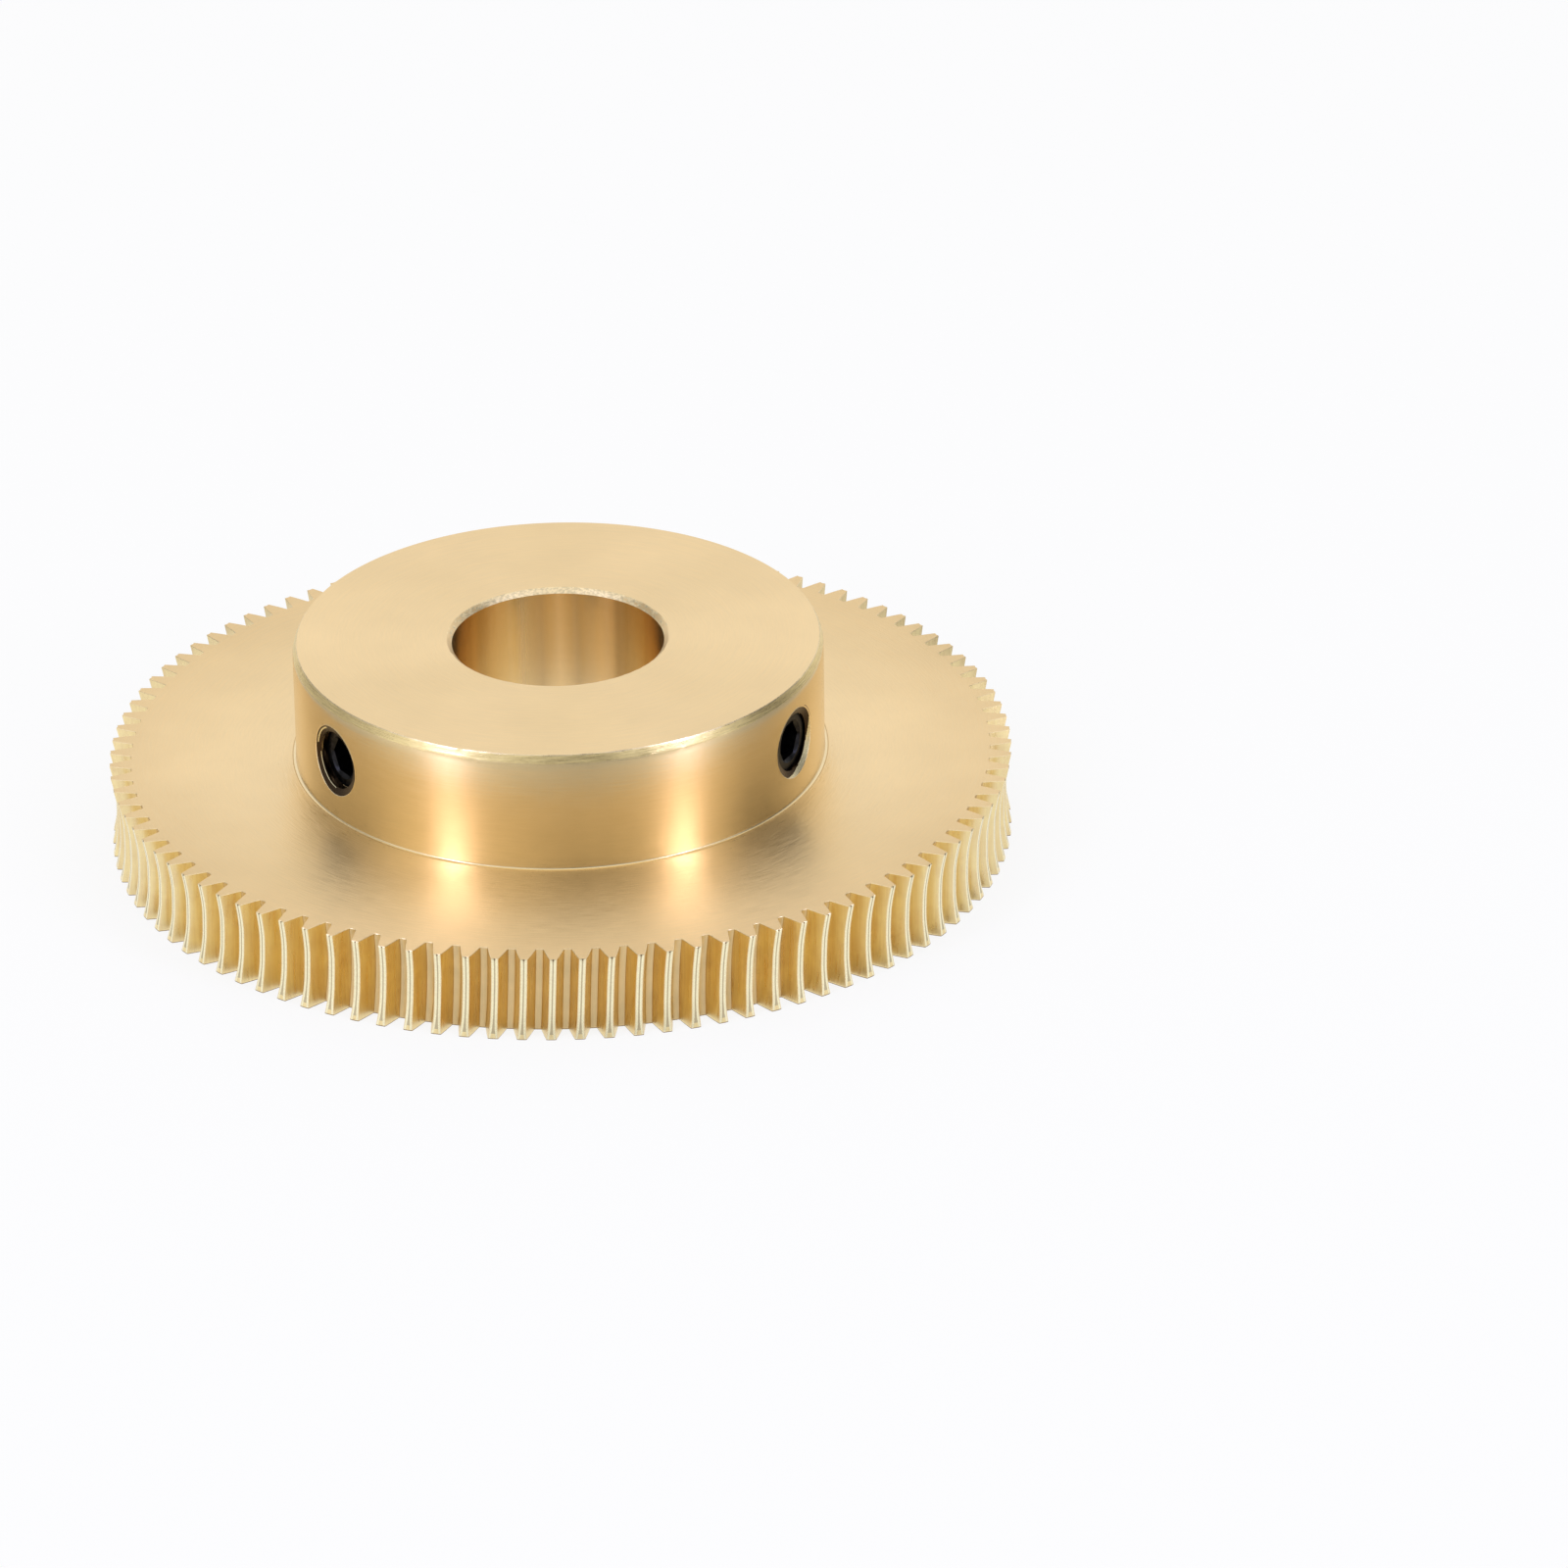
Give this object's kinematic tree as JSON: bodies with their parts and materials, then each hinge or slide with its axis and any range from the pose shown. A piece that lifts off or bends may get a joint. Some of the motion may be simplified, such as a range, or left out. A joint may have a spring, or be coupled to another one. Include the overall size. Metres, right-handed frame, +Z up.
{
  "type": "worm wheel",
  "caption": "Brass worm wheel: thin toothed rim with hollow teeth, one-sided hub, plain bore, and set screws in the hub to lock it to a shaft.",
  "frame": {"origin": "centre of the bore at the toothed rim's bottom face", "axes": "+Z up the bore towards the hub's end, one tooth points along -Y, set screws 60 degrees either side of -Y"},
  "size_m": [0.0512, 0.0512, 0.012],
  "materials": {
    "brass": "turned, fine satin",
    "black_steel": "black oxide"
  },
  "bodies": {
    "root": {"worm_wheel": "brass", "set_screw_left": "black_steel", "set_screw_right": "black_steel"}
  },
  "joints": []
}
